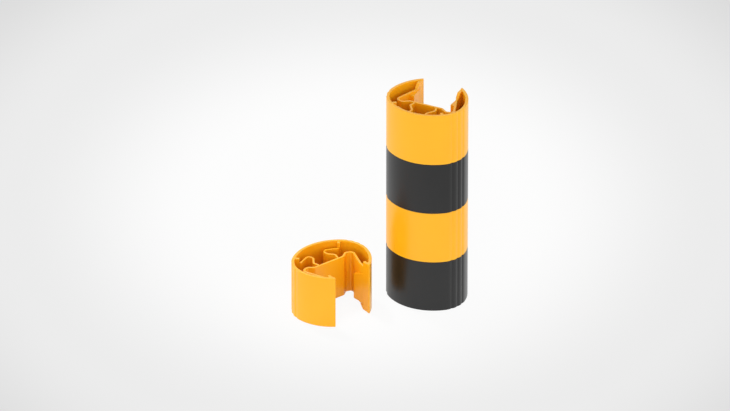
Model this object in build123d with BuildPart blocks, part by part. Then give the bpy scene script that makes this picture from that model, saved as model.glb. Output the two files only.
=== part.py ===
from build123d import *
import os
from math import acos, asin, atan2, cos, degrees, radians, sin, sqrt, tan

# A protector for a rack upright: four clip-on rings in a column and one spare ring beside it.
# Millimetres, +Z up. The origin is at floor level, at the centre of the column's front arc, inside
# the channel that takes the upright. The round front faces -Y and the mouth faces +Y. Each ring is
# drawn on a plane of its own, with the same axes and one rim at zero.

# Column and spare ring
RING_COUNT = 4
RING_HEIGHT = 100.0
SPARE_X = -108.9
SPARE_Y = -157.0
SPARE_MOUTH_TURN = -25.6  # degrees from +X to the way the spare ring's mouth faces

# Outline of a ring from above
RING_WIDTH = 149.0
RING_DEPTH = 125.5
MOUTH_WIDTH = 75.0
FRONT_RADIUS = 88.0
SHOULDER_RADIUS = 52.0
SHOULDER_PAST_WIDEST = 6.0  # degrees of shoulder behind the widest point
WALL = 5.5
MOUTH_EDGE_ROUND = 1.2
RIM_ROUND = 0.8

# Upright flutes on each shoulder
FLUTE_COUNT = 3
FLUTE_PITCH = 13.2
FLUTE_DEPTH = 1.3
FLUTE_ROUND = 1.0
LAST_FLUTE = -5.5  # degrees behind the widest point, so this one lies in front of it

# Rails inside the shell, with pockets for the springs and for the saddle's tongues
RAIL_THICKNESS = 5.2
RAIL_RECESS = 1.0  # from each rim to the rails
SPRING_RAIL_ANGLE = 36.0  # degrees from the middle of the front to the rail's free end
SPRING_RAIL_LEAN = 12.0  # degrees that the rail leans towards the middle
SPRING_RAIL_LENGTH = 7.2  # from the wall to the rail's free end
JAW_RAIL_SETBACK = 2.8  # from the mouth's edge to the middle of the rail
JAW_RAIL_REACH = 18.8  # from the back of the ring to the rail's free end
KEEPER_LENGTH = 7.5  # sloped tab of the jaw rail, over the end of the saddle's arm
CLEARANCE = 0.15  # each side of a tongue, tenon or foot
END_GAP = 0.2  # at the end of a tongue, tenon or foot

# Saddle: the seat, and on each side a lobe, an arm and a tongue
WEB_RECESS = 10.0  # from each rim to the saddle and the springs
SADDLE_THICKNESS = 4.0
SEAT_DEPTH = 67.0  # from the back of the ring to the seat
SADDLE_TRAVEL = 6.0
TONGUE_THICKNESS = 2.4
TONGUE_HOLD = 2.5  # tongue left in its pocket at full travel
LOBE_START = 8.3  # the seat ends this far inside the jaw rail's line
LOBE_REACH = 15.2  # the lobe stands this far outside the jaw rail's line
LOBE_DEPTH = 8.0  # the lobe stands this far in front of the seat
LOBE_TAPER = 2.8  # the lobe's front corners lie this far inside its sides
ARM_LENGTH = 12.2  # from the jaw rail to the bend of the arm
ARM_NECK = 4.0  # straight end of the arm, in front of the jaw rail
ARM_LEAN = 1.2  # the bend stands this far outside the jaw rail's line
SEAT_ROUND = 5.0
LOBE_ROUND = 4.5
LOBE_TOP_ROUND = 6.0
ARM_ROUND = 20.0
WEB_EDGE_ROUND = 0.5

# Snap lug on each arm of the saddle
LUG_HEIGHT = 50.0  # at the nose
LUG_RECESS = 4.0  # from the saddle's end to the lug
LUG_SLOPE = 10.5  # the lug is this much taller at the jaw rail than at the nose
LUG_GRIP = 1.3  # how far the lug stands inside the mouth's width
LUG_SETBACK = 22.5  # from the seat to the lug's catching face
LUG_NOSE = 4.0  # flat of the nose, beside the upright
LUG_ROUND = 1.0

# Springs: an S from the spring rail to the back of the saddle
SPRING_THICKNESS = 3.6
TENON_THICKNESS = 2.2
TENON_LENGTH = 5.0
KNEE_GAP = 2.0  # from the rail's free end to the knee
LOOP_X = 14.7  # the loop's end, from the ring's middle plane
LOOP_GAP = 9.9  # from the front wall to the near corner of the loop
LOOP_LENGTH = 14.6
ELBOW_X = 24.8
ELBOW_GAP = 11.1  # from the back of the saddle to the elbow
FOOT_X = 22.0
FOOT_STRAIGHT = 2.5  # from the back of the saddle to the ankle
FOOT_DEPTH = 1.0  # how far the foot stands in the saddle
KNEE_ROUND = 2.2
LOOP_ROUND = 6.6
ELBOW_ROUND = 5.0
ANKLE_ROUND = 4.0

STRAIGHT_LEFT = 0.1  # least straight between two rounds of a web
NEAR = 0.01  # a corner this close to a line or an arc counts as on it


def polar(centre, radius, angle):
    """A point at a radius and an angle in degrees from +X about a centre."""
    return centre + Vector(radius * cos(radians(angle)), radius * sin(radians(angle)))


def mirrored(points, side):
    """The same points on one side of the ring: 1 is the right, -1 the left."""
    return [Vector(side * point.X, point.Y) for point in points]


def fitted(line, rounds):
    """Rounds of a line's corners, made smaller where a straight is too short for the two at its ends."""
    straights = [after - before for before, after in zip(line, line[1:])]
    turns = [way_in.get_angle(way_out) for way_in, way_out in zip(straights, straights[1:])]
    uses = [0, *[size * tan(radians(turn / 2)) for size, turn in zip(rounds, turns)], 0]
    shares = []
    for straight, use_before, use_after in zip(straights, uses, uses[1:]):
        shares.append(min(1, (straight.length - STRAIGHT_LEFT) / (use_before + use_after)))
    return [size * min(before, after) for size, before, after in zip(rounds, shares, shares[1:])]


# Front, shoulder and flank arcs of the outline, each tangent to the next, as far as the mouth's tip
front = Vector(0, 0)
tip = Vector(MOUTH_WIDTH / 2, RING_DEPTH - FRONT_RADIUS)
front_turn = degrees(asin((RING_WIDTH / 2 - SHOULDER_RADIUS) / (FRONT_RADIUS - SHOULDER_RADIUS)))
front_end = front_turn - 90
shoulder = polar(front, FRONT_RADIUS - SHOULDER_RADIUS, front_end)
shoulder_way = polar(Vector(0, 0), 1, SHOULDER_PAST_WIDEST)
shoulder_to_tip = tip - shoulder
shoulder_end_to_tip = shoulder_to_tip - shoulder_way * SHOULDER_RADIUS
flank_radius = shoulder_end_to_tip.length**2 / (2 * (SHOULDER_RADIUS - shoulder_to_tip.dot(shoulder_way)))
flank = shoulder - shoulder_way * (flank_radius - SHOULDER_RADIUS)
tip_angle = degrees(atan2(tip.Y - flank.Y, tip.X - flank.X))
inner_tip_angle = degrees(acos((tip.X - flank.X) / (flank_radius - WALL)))

# Flutes, by their runs along the outside from the widest point towards the front
front_run = radians(-front_end) * SHOULDER_RADIUS
last_flute_run = radians(-LAST_FLUTE) * SHOULDER_RADIUS
flute_runs = [last_flute_run + FLUTE_PITCH * i for i in range(FLUTE_COUNT)]

# Rails
spring_rail_end = polar(front, FRONT_RADIUS - WALL - SPRING_RAIL_LENGTH, SPRING_RAIL_ANGLE - 90)
spring_rail_turn = SPRING_RAIL_ANGLE + SPRING_RAIL_LEAN
spring_rail_size = (SPRING_RAIL_LENGTH + WALL / 2) / cos(radians(SPRING_RAIL_LEAN))
jaw_x = tip.X + JAW_RAIL_SETBACK
jaw_end = tip.Y - JAW_RAIL_REACH
tongue_length = SADDLE_TRAVEL + TONGUE_HOLD
web_height = RING_HEIGHT - 2 * WEB_RECESS
keeper_bottom = RING_HEIGHT - WEB_RECESS + CLEARANCE
keeper_top = RING_HEIGHT - RAIL_RECESS
keeper_side = [(jaw_end, keeper_top), (jaw_end, keeper_bottom), (jaw_end - KEEPER_LENGTH, keeper_bottom)]

# Middle line of the saddle's right half, from the seat to the end of the arm
seat = tip.Y - SEAT_DEPTH
seat_middle = seat - SADDLE_THICKNESS / 2
seat_back = seat - SADDLE_THICKNESS
seat_end = Vector(jaw_x - LOBE_START, seat_middle)
lobe_inner = Vector(jaw_x + LOBE_TAPER, seat_middle - LOBE_DEPTH)
lobe_outer = Vector(jaw_x + LOBE_REACH - LOBE_TAPER, seat_middle - LOBE_DEPTH + LOBE_TAPER)
lobe_top = Vector(jaw_x + LOBE_REACH, seat_middle)
arm_bend = Vector(jaw_x + ARM_LEAN, jaw_end - ARM_LENGTH)
arm_neck = Vector(jaw_x, jaw_end - ARM_NECK)
arm_end = Vector(jaw_x, jaw_end - END_GAP)
saddle_half = [seat_end, lobe_inner, lobe_outer, lobe_top, arm_bend, arm_neck, arm_end]
saddle_rounds = [SEAT_ROUND, SEAT_ROUND, LOBE_ROUND, LOBE_TOP_ROUND, ARM_ROUND, ARM_ROUND]

# Outline of the right lug, which starts inside the arm and ends flush with the jaw rail
lug_catch = seat + LUG_SETBACK
lug_nose = tip.X - LUG_GRIP
lug_share = (arm_bend.Y - lug_catch) / (arm_bend.Y - lobe_top.Y)
lug_root = arm_bend + (lobe_top - arm_bend) * lug_share
lug_face = [Vector(lug_nose, lug_catch + LUG_NOSE), Vector(jaw_x - RAIL_THICKNESS / 2, arm_end.Y)]
lug_outline = [lug_root, Vector(lug_nose, lug_catch), *lug_face, arm_end, arm_bend]
lug_top = RING_HEIGHT - WEB_RECESS - LUG_RECESS
lug_bottom = lug_top - LUG_HEIGHT
lug_back = [(arm_end.Y, lug_bottom - LUG_SLOPE), (arm_end.Y, lug_top)]
lug_side = [(lug_catch, lug_top), (lug_catch, lug_bottom), *lug_back]

# Tenon and middle line of the right spring, from the spring rail to the foot in the saddle
tenon_end = polar(spring_rail_end, TENON_LENGTH, spring_rail_turn - 90)
spring_start = polar(spring_rail_end, -END_GAP, spring_rail_turn - 90)
knee = polar(spring_rail_end, -KNEE_GAP, spring_rail_turn - 90)
loop_near = Vector(LOOP_X, WALL - FRONT_RADIUS + LOOP_GAP)
loop_far = loop_near + Vector(0, LOOP_LENGTH)
elbow = Vector(ELBOW_X, seat_back - ELBOW_GAP)
ankle = Vector(FOOT_X, seat_back - FOOT_STRAIGHT)
foot = Vector(FOOT_X, seat_back + FOOT_DEPTH)
spring_line = [spring_start, knee, loop_near, loop_far, elbow, ankle, foot]
spring_rounds = [KNEE_ROUND, LOOP_ROUND, LOOP_ROUND, ELBOW_ROUND, ANKLE_ROUND]


def wall_middle(x):
    """A point in the middle of the flank's wall, at a distance x from the ring's middle plane."""
    return Vector(x, flank.Y + sqrt((flank_radius - WALL / 2) ** 2 - (x - flank.X) ** 2))


def outside_at(run):
    """A point of the outside and its way out in degrees, by its run from the widest point to the front."""
    if run < front_run:
        way = -degrees(run / SHOULDER_RADIUS)
        return polar(shoulder, SHOULDER_RADIUS, way), way
    way = front_end - degrees((run - front_run) / FRONT_RADIUS)
    return polar(front, FRONT_RADIUS, way), way


def flute_bottom(run):
    """The bottom of the flute at a run along the outside."""
    point, way = outside_at(run)
    return polar(point, -FLUTE_DEPTH, way)


def is_flute_bottom(vertex):
    """Whether a corner of the outline lies at the bottom of a flute."""
    corner = Vector(abs(vertex.X), vertex.Y)
    return any((corner - flute_bottom(run)).length < NEAR for run in flute_runs)


def is_mouth_corner(vertex):
    """Whether a corner of the outline lies on an end face of the mouth."""
    return abs(abs(vertex.X) - tip.X) < NEAR


def is_lug_nose(vertex):
    """Whether a corner of the lug's outline lies on its nose."""
    return abs(vertex.X - lug_nose) < NEAR


def outline_half():
    """Lines of the right half of the shell's outline: outside, mouth, then inside."""
    fluted_from = outside_at(flute_runs[-1] + FLUTE_PITCH / 2)[1]
    fluted_to = outside_at(flute_runs[0] - FLUTE_PITCH / 2)[1]
    CenterArc(front, FRONT_RADIUS, -90, min(front_end, fluted_from) + 90)
    if fluted_from > front_end:
        CenterArc(shoulder, SHOULDER_RADIUS, front_end, fluted_from - front_end)
    for run in flute_runs:
        for side in (-1, 1):
            crest, way = outside_at(run - side * FLUTE_PITCH / 2)
            TangentArc(crest, flute_bottom(run), tangent=polar(Vector(0, 0), 1, way - side * 90))
    CenterArc(shoulder, SHOULDER_RADIUS, fluted_to, SHOULDER_PAST_WIDEST - fluted_to)
    CenterArc(flank, flank_radius, SHOULDER_PAST_WIDEST, tip_angle - SHOULDER_PAST_WIDEST)
    Line(tip, polar(flank, flank_radius - WALL, inner_tip_angle))
    CenterArc(flank, flank_radius - WALL, inner_tip_angle, SHOULDER_PAST_WIDEST - inner_tip_angle)
    CenterArc(shoulder, SHOULDER_RADIUS - WALL, SHOULDER_PAST_WIDEST, front_end - SHOULDER_PAST_WIDEST)
    CenterArc(front, FRONT_RADIUS - WALL, front_end, -front_turn)


def build_shell(ring):
    """Outer wall of a ring, with its four rails."""
    with BuildPart() as shell:
        with BuildSketch(ring) as outline:
            with BuildLine():
                outline_half()
                mirror(about=Plane.YZ)
            make_face()
            fillet(outline.vertices().filter_by(is_flute_bottom), FLUTE_ROUND)
            fillet(outline.vertices().filter_by(is_mouth_corner), MOUTH_EDGE_ROUND)
        extrude(amount=RING_HEIGHT)
        rims = shell.faces().sort_by(Axis.Z)
        fillet(rims[0].edges() + rims[-1].edges(), RIM_ROUND)
        with BuildSketch(ring.offset(RAIL_RECESS)):
            with BuildLine():
                inner_x = jaw_x - RAIL_THICKNESS / 2
                outer_x = jaw_x + RAIL_THICKNESS / 2
                free_end = [Vector(inner_x, jaw_end), Vector(outer_x, jaw_end)]
                Polyline(*free_end, wall_middle(outer_x), wall_middle(inner_x), close=True)
            make_face()
            with Locations(spring_rail_end):
                outwards = (Align.CENTER, Align.MAX)
                Rectangle(RAIL_THICKNESS, spring_rail_size, spring_rail_turn, align=outwards)
            mirror(about=Plane.YZ)
        extrude(amount=RING_HEIGHT - 2 * RAIL_RECESS)
        for side in (-1, 1):
            rail_middle = ring.from_local_coords((side * jaw_x, 0, 0))
            with BuildSketch(Plane(rail_middle, x_dir=ring.y_dir, z_dir=ring.x_dir)):
                with BuildLine():
                    Polyline(*keeper_side, close=True)
                make_face()
            extrude(amount=RAIL_THICKNESS / 2, both=True)
        with BuildSketch(ring.offset(WEB_RECESS - CLEARANCE)):
            with Locations((jaw_x, jaw_end)):
                tongue_pocket = TONGUE_THICKNESS + 2 * CLEARANCE
                Rectangle(tongue_pocket, tongue_length + END_GAP, align=(Align.CENTER, Align.MIN))
            with Locations(spring_rail_end):
                tenon_pocket = TENON_THICKNESS + 2 * CLEARANCE
                Rectangle(tenon_pocket, TENON_LENGTH + END_GAP, spring_rail_turn, align=outwards)
            mirror(about=Plane.YZ)
        extrude(amount=web_height + 2 * CLEARANCE, mode=Mode.SUBTRACT)
    return shell.part


def build_saddle(ring):
    """Inner web of a ring, which seats the upright and snaps behind its flanges."""
    with BuildPart() as saddle:
        with BuildSketch(ring.offset(WEB_RECESS)):
            with BuildLine():
                line = mirrored(saddle_half, -1)[::-1] + saddle_half
                FilletPolyline(*line, radius=fitted(line, saddle_rounds[::-1] + saddle_rounds))
            trace(line_width=SADDLE_THICKNESS)
            for side in (-1, 1):
                with Locations((side * jaw_x, jaw_end + tongue_length)):
                    tongue_size = tongue_length + SADDLE_THICKNESS
                    Rectangle(TONGUE_THICKNESS, tongue_size, align=(Align.CENTER, Align.MAX))
                with Locations((side * FOOT_X, seat_back)):
                    foot_slot = SPRING_THICKNESS + 2 * CLEARANCE
                    slot_size = (FOOT_DEPTH + END_GAP) * 2
                    Rectangle(foot_slot, slot_size, mode=Mode.SUBTRACT)
        extrude(amount=web_height)
        with BuildPart(mode=Mode.PRIVATE) as lugs:
            with BuildSketch(ring) as outline:
                with BuildLine():
                    Polyline(*lug_outline, close=True)
                make_face()
                fillet(outline.vertices().filter_by(is_lug_nose), LUG_ROUND)
                mirror(about=Plane.YZ)
            extrude(amount=RING_HEIGHT)
            with BuildSketch(Plane(ring.origin, x_dir=ring.y_dir, z_dir=ring.x_dir)):
                with BuildLine():
                    Polyline(*lug_side, close=True)
                make_face()
            extrude(amount=RING_WIDTH / 2, both=True, mode=Mode.INTERSECT)
        add(lugs.part)
        ends = saddle.faces().sort_by(Axis.Z)
        fillet(ends[0].edges() + ends[-1].edges(), WEB_EDGE_ROUND)
    return saddle.part


def build_spring(ring, side):
    """S-shaped rib between the shell and the saddle, on one side of the ring."""
    with BuildPart() as spring:
        with BuildSketch(ring.offset(WEB_RECESS)):
            with BuildLine():
                FilletPolyline(*mirrored(spring_line, side), radius=fitted(spring_line, spring_rounds))
            trace(line_width=SPRING_THICKNESS)
            with Locations(mirrored([tenon_end], side)):
                inwards = (Align.CENTER, Align.MIN)
                Rectangle(TENON_THICKNESS, TENON_LENGTH + KNEE_GAP, side * spring_rail_turn, align=inwards)
        extrude(amount=web_height)
        ends = spring.faces().sort_by(Axis.Z)
        fillet(ends[0].edges() + ends[-1].edges(), WEB_EDGE_ROUND)
    return spring.part


def write(piece, node):
    """Label a piece and write it as a file of its own."""
    piece.label = node
    export_step(piece, f"parts/{node}.step")


# The rings of the column stand one on another, and the spare ring stands upside down beside them
rings = {f"ring_{i + 1}": Plane.XY.offset(i * RING_HEIGHT) for i in range(RING_COUNT)}
spare_across = polar(Vector(0, 0), 1, SPARE_MOUTH_TURN + 90)
rings["spare_ring"] = Plane((SPARE_X, SPARE_Y, RING_HEIGHT), x_dir=spare_across, z_dir=(0, 0, -1))

os.makedirs("parts", exist_ok=True)
for name, ring in rings.items():
    write(build_shell(ring), f"{name}_shell")
    write(build_saddle(ring), f"{name}_saddle")
    write(build_spring(ring, -1), f"{name}_left_spring")
    write(build_spring(ring, 1), f"{name}_right_spring")
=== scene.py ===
from math import atan2, ceil, cos, radians, sin, tan

import bmesh
import bpy
from mathutils import Matrix, Vector


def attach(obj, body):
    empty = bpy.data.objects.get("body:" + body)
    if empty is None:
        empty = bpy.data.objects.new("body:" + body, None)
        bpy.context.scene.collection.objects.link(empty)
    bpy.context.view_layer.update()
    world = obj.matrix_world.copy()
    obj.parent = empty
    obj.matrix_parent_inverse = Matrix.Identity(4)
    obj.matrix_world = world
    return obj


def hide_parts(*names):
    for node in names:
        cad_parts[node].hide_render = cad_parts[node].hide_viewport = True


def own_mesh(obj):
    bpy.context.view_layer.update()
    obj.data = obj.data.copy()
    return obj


# A rack upright protector: a column of four clip-on plastic rings and a spare ring beside it.
# Metres, +Z up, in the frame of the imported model. The sizes of rings and ribs are in millimetres.
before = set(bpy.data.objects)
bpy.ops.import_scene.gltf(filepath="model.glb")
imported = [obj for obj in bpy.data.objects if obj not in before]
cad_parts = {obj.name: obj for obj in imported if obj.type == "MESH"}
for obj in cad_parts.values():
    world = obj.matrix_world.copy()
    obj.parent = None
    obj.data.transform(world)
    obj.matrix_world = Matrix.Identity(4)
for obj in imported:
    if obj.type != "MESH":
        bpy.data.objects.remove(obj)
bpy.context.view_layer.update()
MM = 0.001

# Rings, from the floor up, with the plastic each is moulded from
RING_PLASTIC = {
    "ring_1": "black_plastic",
    "ring_2": "yellow_plastic",
    "ring_3": "black_plastic",
    "ring_4": "yellow_plastic",
    "spare_ring": "yellow_plastic",
}
RING_HEIGHT = 100.0
SPARE_X = -108.9
SPARE_Y = -157.0
SPARE_MOUTH_TURN = -25.6  # degrees from +X to the way the spare ring's mouth faces

# Spring ribs, between the shell's spring rails and the back of the saddle
FRONT_RADIUS = 88.0
WALL = 5.5
SPRING_RAIL_ANGLE = 36.0  # degrees from the middle of the front to the rail's free end
SPRING_RAIL_LEAN = 12.0  # degrees that the rail leans towards the middle
SPRING_RAIL_LENGTH = 7.2  # from the wall to the rail's free end
SEAT_BACK = -33.5
WEB_RECESS = 10.0
RIB_THICKNESS = 3.6
RIB_EDGE_ROUND = 0.5
RIB_EDGE_STEPS = 3
RIB_EDGE_TURN = radians(50)  # edges that turn by more than this are rounded
RIB_KNEE_GAP = 2.0
RIB_LOOP_X = 14.7
RIB_LOOP_GAP = 9.9
RIB_LOOP_LENGTH = 14.6
RIB_ELBOW_X = 24.8
RIB_ELBOW_GAP = 11.1
RIB_FOOT_X = 22.0
RIB_FOOT_STRAIGHT = 2.5
RIB_FOOT_DEPTH = 1.0
RIB_ROUNDS = [2.2, 6.6, 6.6, 5.0, 4.0]  # knee, two corners of the loop, elbow, ankle
RIB_ARC_STEP = radians(8)

# Plastics: two close shades of each colour, between which it drifts
YELLOW = ["#FFB414", "#FFB814"]
BLACK = ["#191919", "#1D1D1D"]
SHADE_PLACES = [0.3, 0.7]  # levels of the flow's noise at which the two shades are reached
SATIN = 0.30  # roughness of both
PLASTIC_IOR = 1.49
FLOW_SIZE = 70.0  # mm across a drift of the melt
FLOW_STRETCH = 0.4  # the drift is longer up the wall, the way the mould filled
GRAIN_SIZE = 0.9  # mm; the mould's own grit is near 0.1 mm, drawn coarser so that it shows close up
GRAIN_DEPTH = 0.03  # mm
GRAIN_STRENGTH = 0.25
NOISE_DETAIL = 2.0

# Camera: the photograph's angle, from far away through a long lens, so upright edges stay parallel
VIEW_AZIMUTH = radians(26.4)
VIEW_ELEVATION = radians(29.8)
VIEW_WIDTH = 1.3113
VIEW_ACROSS = -0.1225  # from the column's foot to the middle of the picture
VIEW_UP = 0.1450
LENS = 600.0
SENSOR = 36.0
SIGHT = 100.0  # how far the camera sees

# Light: a white room, brighter all round than overhead, and a small lamp behind the spare ring
WHITE = "#FFFFFF"
ROOM_ROUND = 2.4  # strength at the height of the eye
ROOM_OVERHEAD = 0.65
ROOM_OVERHEAD_FROM = 0.6  # sine of the angle above the floor at which the overhead strength begins
LAMP_WATTS = 40.0
LAMP_RADIUS = 0.12
LAMP_CONE = radians(12)
LAMP_SOFT_SHARE = 0.4  # share of the cone that fades out
LAMP_PLACE = Vector((-0.75, 0.15, 1.3))
LAMP_AIM = Vector((-0.115, -0.155, 0.08))  # the inside of the spare ring

# Floor, with a painted pool of light round the object
PAPER = "#EFEFEF"
FLOOR_SIZE = 16.0
FLOOR_GLOW = 0.93  # share of the floor that shows as lit paper; the rest takes the object's shadow
PATCH_ACROSS = 0.656  # half-axes of the patch, to the right in the picture and away from the camera
PATCH_AWAY = 0.854
PATCH_FADE = 1.5  # the patch has faded out at this many half-axes
# Shades of the painted pool of light, which stand in for light falling off away from the object
LIGHT_POOL_STOPS = [(0.0, "#D9D9D9"), (0.34, "#EDEDED"), (0.72, WHITE)]  # from its edge to its middle


def linear(code):
    """Linear colour of an sRGB hex value."""
    parts = [int(code[i : i + 2], 16) / 255 for i in (1, 3, 5)]
    return [p / 12.92 if p <= 0.04045 else ((p + 0.055) / 1.055) ** 2.4 for p in parts] + [1.0]


def add(tree, kind, inputs=None, **settings):
    """A node with its settings, and its inputs set to values or linked to other nodes' sockets."""
    node = tree.nodes.new(kind)
    for name, value in settings.items():
        setattr(node, name, value)
    for name, value in (inputs or {}).items():
        if isinstance(value, bpy.types.NodeSocket):
            tree.links.new(value, node.inputs[name])
        else:
            node.inputs[name].default_value = value
    return node


def new_material(name):
    """An empty material and its node tree."""
    material = bpy.data.materials.new(name)
    material.use_nodes = True
    material.node_tree.nodes.clear()
    return material, material.node_tree


def set_stops(ramp, stops):
    """Give a colour ramp its stops, as pairs of place and hex colour."""
    elements = ramp.color_ramp.elements
    while len(elements) < len(stops):
        elements.new(1.0)
    for element, (place, code) in zip(elements, stops):
        element.position = place
        element.color = linear(code)


def moulded_polypropylene(name, shades):
    """Injection-moulded polypropylene, coloured in the mass, from a finely spark-eroded mould.
    It gives the eye an even colour that drifts a little where the melt flowed, a satin sheen that
    turns pale where the wall curves away, and a fine grain that breaks up sharp reflections."""
    material, tree = new_material(name)
    place = add(tree, "ShaderNodeTexCoord").outputs["Object"]
    flow_way = add(tree, "ShaderNodeMapping", {"Vector": place, "Scale": (1, 1, FLOW_STRETCH)})
    flow = add(tree, "ShaderNodeTexNoise", {
        "Vector": flow_way.outputs["Vector"], "Scale": 1 / (FLOW_SIZE * MM), "Detail": NOISE_DETAIL})
    tint = add(tree, "ShaderNodeValToRGB", {"Fac": flow.outputs["Fac"]})
    set_stops(tint, list(zip(SHADE_PLACES, shades)))
    grain = add(tree, "ShaderNodeTexNoise", {
        "Vector": place, "Scale": 1 / (GRAIN_SIZE * MM), "Detail": NOISE_DETAIL})
    bump = add(tree, "ShaderNodeBump", {
        "Height": grain.outputs["Fac"], "Strength": GRAIN_STRENGTH, "Distance": GRAIN_DEPTH * MM})
    surface = add(tree, "ShaderNodeBsdfPrincipled", {
        "Base Color": tint.outputs["Color"], "Roughness": SATIN,
        "Normal": bump.outputs["Normal"], "IOR": PLASTIC_IOR})
    add(tree, "ShaderNodeOutputMaterial", {"Surface": surface.outputs["BSDF"]})
    return material


def seen_ray(tree):
    """Socket that is 1 for what the eye, a gloss or a glass looks at, and 0 where light is gathered."""
    path = add(tree, "ShaderNodeLightPath").outputs
    seen = add(tree, "ShaderNodeMath", {
        0: path["Is Camera Ray"], 1: path["Is Glossy Ray"]}, operation="MAXIMUM")
    seen = add(tree, "ShaderNodeMath", {
        0: seen.outputs[0], 1: path["Is Transmission Ray"]}, operation="MAXIMUM")
    return seen.outputs[0]


def paper_floor():
    """Seamless white paper with a painted pool of light, so that it shows as white in the middle and
    fades to pale grey.
    It is matt, takes a soft shadow, and is the white that the plastic mirrors."""
    material, tree = new_material("white_paper_floor")
    place = add(tree, "ShaderNodeTexCoord").outputs["Object"]
    patch = add(tree, "ShaderNodeMapping", {
        "Vector": place, "Location": floor_middle(), "Rotation": (0, 0, VIEW_AZIMUTH),
        "Scale": (PATCH_ACROSS * PATCH_FADE, PATCH_AWAY * PATCH_FADE, 1)}, vector_type="TEXTURE")
    fade = add(tree, "ShaderNodeTexGradient", {
        "Vector": patch.outputs["Vector"]}, gradient_type="SPHERICAL")
    # The glow's colour is a painted pool of light: white in the middle, fading to pale grey at the edge
    shade = add(tree, "ShaderNodeValToRGB", {"Fac": fade.outputs["Fac"]})
    shade.color_ramp.interpolation = "EASE"
    set_stops(shade, LIGHT_POOL_STOPS)
    share = add(tree, "ShaderNodeMath", {0: seen_ray(tree), 1: FLOOR_GLOW}, operation="MULTIPLY")
    paper = add(tree, "ShaderNodeBsdfDiffuse", {"Color": linear(PAPER)})
    glow = add(tree, "ShaderNodeEmission", {"Color": shade.outputs["Color"], "Strength": 1.0})
    both = add(tree, "ShaderNodeMixShader", {
        0: share.outputs[0], 1: paper.outputs[0], 2: glow.outputs[0]})
    add(tree, "ShaderNodeOutputMaterial", {"Surface": both.outputs[0]})
    return material


def view_ways():
    """Unit vectors of the picture: to the right, up, and away from the camera."""
    right = Vector((cos(VIEW_AZIMUTH), sin(VIEW_AZIMUTH), 0))
    level = Vector((-sin(VIEW_AZIMUTH), cos(VIEW_AZIMUTH), 0))
    away = level * cos(VIEW_ELEVATION) - Vector((0, 0, sin(VIEW_ELEVATION)))
    up = level * sin(VIEW_ELEVATION) + Vector((0, 0, cos(VIEW_ELEVATION)))
    return right, up, away


def view_middle():
    """The point that the middle of the picture looks at."""
    right, up, _ = view_ways()
    return right * VIEW_ACROSS + up * VIEW_UP


def floor_middle():
    """The point of the floor behind the middle of the picture."""
    _, _, away = view_ways()
    middle = view_middle()
    return middle - away * (middle.z / away.z)


def polar(radius, angle):
    """A point at a radius and an angle in degrees from +X, in the plane of a ring."""
    return Vector((radius * cos(radians(angle)), radius * sin(radians(angle)), 0))


def rail_end():
    """Free end of the right spring rail in millimetres."""
    return polar(FRONT_RADIUS - WALL - SPRING_RAIL_LENGTH, SPRING_RAIL_ANGLE - 90)


def rib_points(side):
    """Corners of a rib's middle line in millimetres, from rail to foot. Side 1 is the right."""
    start = rail_end()
    knee = start - polar(RIB_KNEE_GAP, SPRING_RAIL_ANGLE + SPRING_RAIL_LEAN - 90)
    loop_near = Vector((RIB_LOOP_X, WALL - FRONT_RADIUS + RIB_LOOP_GAP, 0))
    loop_far = loop_near + Vector((0, RIB_LOOP_LENGTH, 0))
    elbow = Vector((RIB_ELBOW_X, SEAT_BACK - RIB_ELBOW_GAP, 0))
    ankle = Vector((RIB_FOOT_X, SEAT_BACK - RIB_FOOT_STRAIGHT, 0))
    foot = Vector((RIB_FOOT_X, SEAT_BACK + RIB_FOOT_DEPTH, 0))
    corners = [start, knee, loop_near, loop_far, elbow, ankle, foot]
    return [Vector((side * c.x, c.y, WEB_RECESS)) for c in corners]


def extrude_to(bm, end, place):
    """Extrude a line's end vertex to a place, and give back its new end."""
    new_end = bmesh.ops.extrude_vert_indiv(bm, verts=[end])["verts"][0]
    new_end.co = place
    return new_end


def rib_sheet(side):
    """A rib as a sheet without thickness: its line is drawn from one vertex, then raised."""
    bm = bmesh.new()
    points = rib_points(side)
    end = bmesh.ops.create_vert(bm, co=points[0])["vert"][0]
    for before, corner, after, radius in zip(points, points[1:], points[2:], RIB_ROUNDS):
        way_in = (corner - before).normalized()
        way_out = (after - corner).normalized()
        turn = atan2(way_in.cross(way_out).z, way_in.dot(way_out))
        start = corner - way_in * radius * tan(abs(turn) / 2)
        end = extrude_to(bm, end, start)
        inward = (way_out - way_in).normalized()
        centre = corner + inward * radius / cos(turn / 2)
        steps = ceil(abs(turn) / RIB_ARC_STEP)
        arc = bmesh.ops.spin(bm, geom=[end], cent=centre, axis=(0, 0, 1), angle=turn, steps=steps)
        end = [v for v in arc["geom_last"] if isinstance(v, bmesh.types.BMVert)][0]
    extrude_to(bm, end, points[-1])
    raised = bmesh.ops.extrude_edge_only(bm, edges=bm.edges[:])["geom"]
    top = [v for v in raised if isinstance(v, bmesh.types.BMVert)]
    bmesh.ops.translate(bm, verts=top, vec=(0, 0, RING_HEIGHT - 2 * WEB_RECESS))
    bmesh.ops.recalc_face_normals(bm, faces=bm.faces[:])
    return bm


def ring_place(ring):
    """Turn and move from a ring's own millimetres to the model: the spare ring is upside down."""
    if ring == "spare_ring":
        mouth = polar(1.0, SPARE_MOUTH_TURN)
        across = polar(1.0, SPARE_MOUTH_TURN + 90)
        turn = Matrix((across, mouth, (0, 0, -1))).transposed().to_4x4()
        return Matrix.Scale(MM, 4) @ Matrix.Translation((SPARE_X, SPARE_Y, RING_HEIGHT)) @ turn
    floor = (int(ring[-1]) - 1) * RING_HEIGHT
    return Matrix.Scale(MM, 4) @ Matrix.Translation((0, 0, floor))


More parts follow.
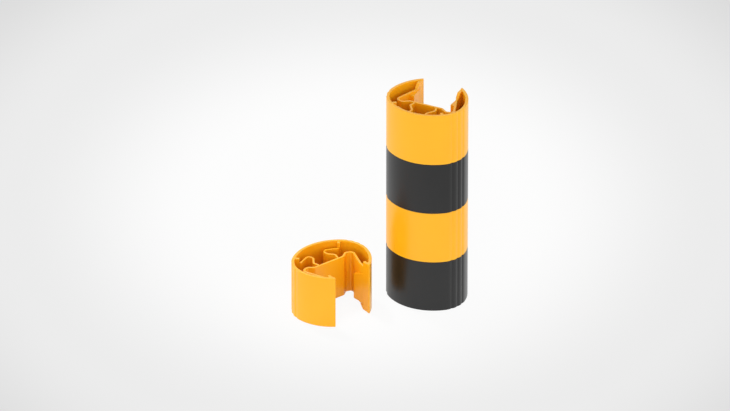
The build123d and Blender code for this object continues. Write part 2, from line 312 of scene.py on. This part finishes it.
def make_rib(ring, side_name, side, plastic):
    """A spring rib of one ring, built at rest; the real rib is pressed flatter as the saddle is pushed
    in.
    """
    place = ring_place(ring)
    bm = rib_sheet(side)
    bmesh.ops.transform(bm, matrix=place, verts=bm.verts[:])
    for face in bm.faces:
        face.smooth = True
    node = f"{ring}_{side_name}_spring"
    mesh = bpy.data.meshes.new(f"{node}_rib")
    bm.to_mesh(mesh)
    bm.free()
    rib = bpy.data.objects.new(f"{node}_rib", mesh)
    bpy.context.scene.collection.objects.link(rib)
    mesh.materials.append(plastic)
    wall = rib.modifiers.new("wall", "SOLIDIFY")
    wall.thickness = RIB_THICKNESS * MM
    wall.offset = 0
    wall.use_even_offset = True
    edges = rib.modifiers.new("edges", "BEVEL")
    edges.width = RIB_EDGE_ROUND * MM
    edges.segments = RIB_EDGE_STEPS
    edges.limit_method = "ANGLE"
    edges.angle_limit = RIB_EDGE_TURN
    edges.harden_normals = True
    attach(rib, ring)
    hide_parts(node)
    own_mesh(rib)


def make_floor():
    """Paper floor under the object."""
    bm = bmesh.new()
    bmesh.ops.create_grid(bm, x_segments=1, y_segments=1, size=FLOOR_SIZE / 2)
    mesh = bpy.data.meshes.new("paper_floor")
    bm.to_mesh(mesh)
    bm.free()
    mesh.materials.append(paper_floor())
    floor = bpy.data.objects.new("paper_floor", mesh)
    bpy.context.scene.collection.objects.link(floor)


def make_light():
    """White room that is seen as plain white, and the small lamp."""
    world = bpy.data.worlds.new("white_studio")
    bpy.context.scene.world = world
    world.use_nodes = True
    tree = world.node_tree
    tree.nodes.clear()
    way = add(tree, "ShaderNodeTexCoord").outputs["Generated"]
    height = add(tree, "ShaderNodeSeparateXYZ", {"Vector": way}).outputs["Z"]
    level = add(tree, "ShaderNodeMapRange", {
        "Value": height, "From Max": ROOM_OVERHEAD_FROM,
        "To Min": ROOM_ROUND, "To Max": ROOM_OVERHEAD})
    room = add(tree, "ShaderNodeBackground", {
        "Color": linear(WHITE), "Strength": level.outputs["Result"]})
    backdrop = add(tree, "ShaderNodeBackground", {"Color": linear(WHITE), "Strength": 1.0})
    both = add(tree, "ShaderNodeMixShader", {
        0: seen_ray(tree), 1: room.outputs[0], 2: backdrop.outputs[0]})
    add(tree, "ShaderNodeOutputWorld", {"Surface": both.outputs[0]})

    light = bpy.data.lights.new("small_lamp", "SPOT")
    light.energy = LAMP_WATTS
    light.shadow_soft_size = LAMP_RADIUS
    light.spot_size = LAMP_CONE
    light.spot_blend = LAMP_SOFT_SHARE
    lamp = bpy.data.objects.new("small_lamp", light)
    lamp.location = LAMP_PLACE
    lamp.rotation_euler = (LAMP_AIM - LAMP_PLACE).to_track_quat("-Z", "Y").to_euler()
    bpy.context.scene.collection.objects.link(lamp)


def make_camera():
    """Camera at the photograph's angle."""
    right, up, away = view_ways()
    lens = bpy.data.cameras.new("camera")
    lens.lens = LENS
    lens.sensor_width = SENSOR
    lens.clip_end = SIGHT
    camera = bpy.data.objects.new("camera", lens)
    camera.location = view_middle() - away * VIEW_WIDTH * LENS / SENSOR
    camera.rotation_euler = Matrix((right, up, -away)).transposed().to_euler()
    bpy.context.scene.collection.objects.link(camera)
    bpy.context.scene.camera = camera
    bpy.context.scene.view_settings.view_transform = "Standard"


plastics = {
    "yellow_plastic": moulded_polypropylene("yellow_polypropylene", YELLOW),
    "black_plastic": moulded_polypropylene("black_polypropylene", BLACK),
}
for ring, plastic in RING_PLASTIC.items():
    for piece in ("shell", "saddle"):
        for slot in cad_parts[f"{ring}_{piece}"].material_slots:
            slot.material = plastics[plastic]
    make_rib(ring, "left", -1, plastics[plastic])
    make_rib(ring, "right", 1, plastics[plastic])
make_floor()
make_light()
make_camera()
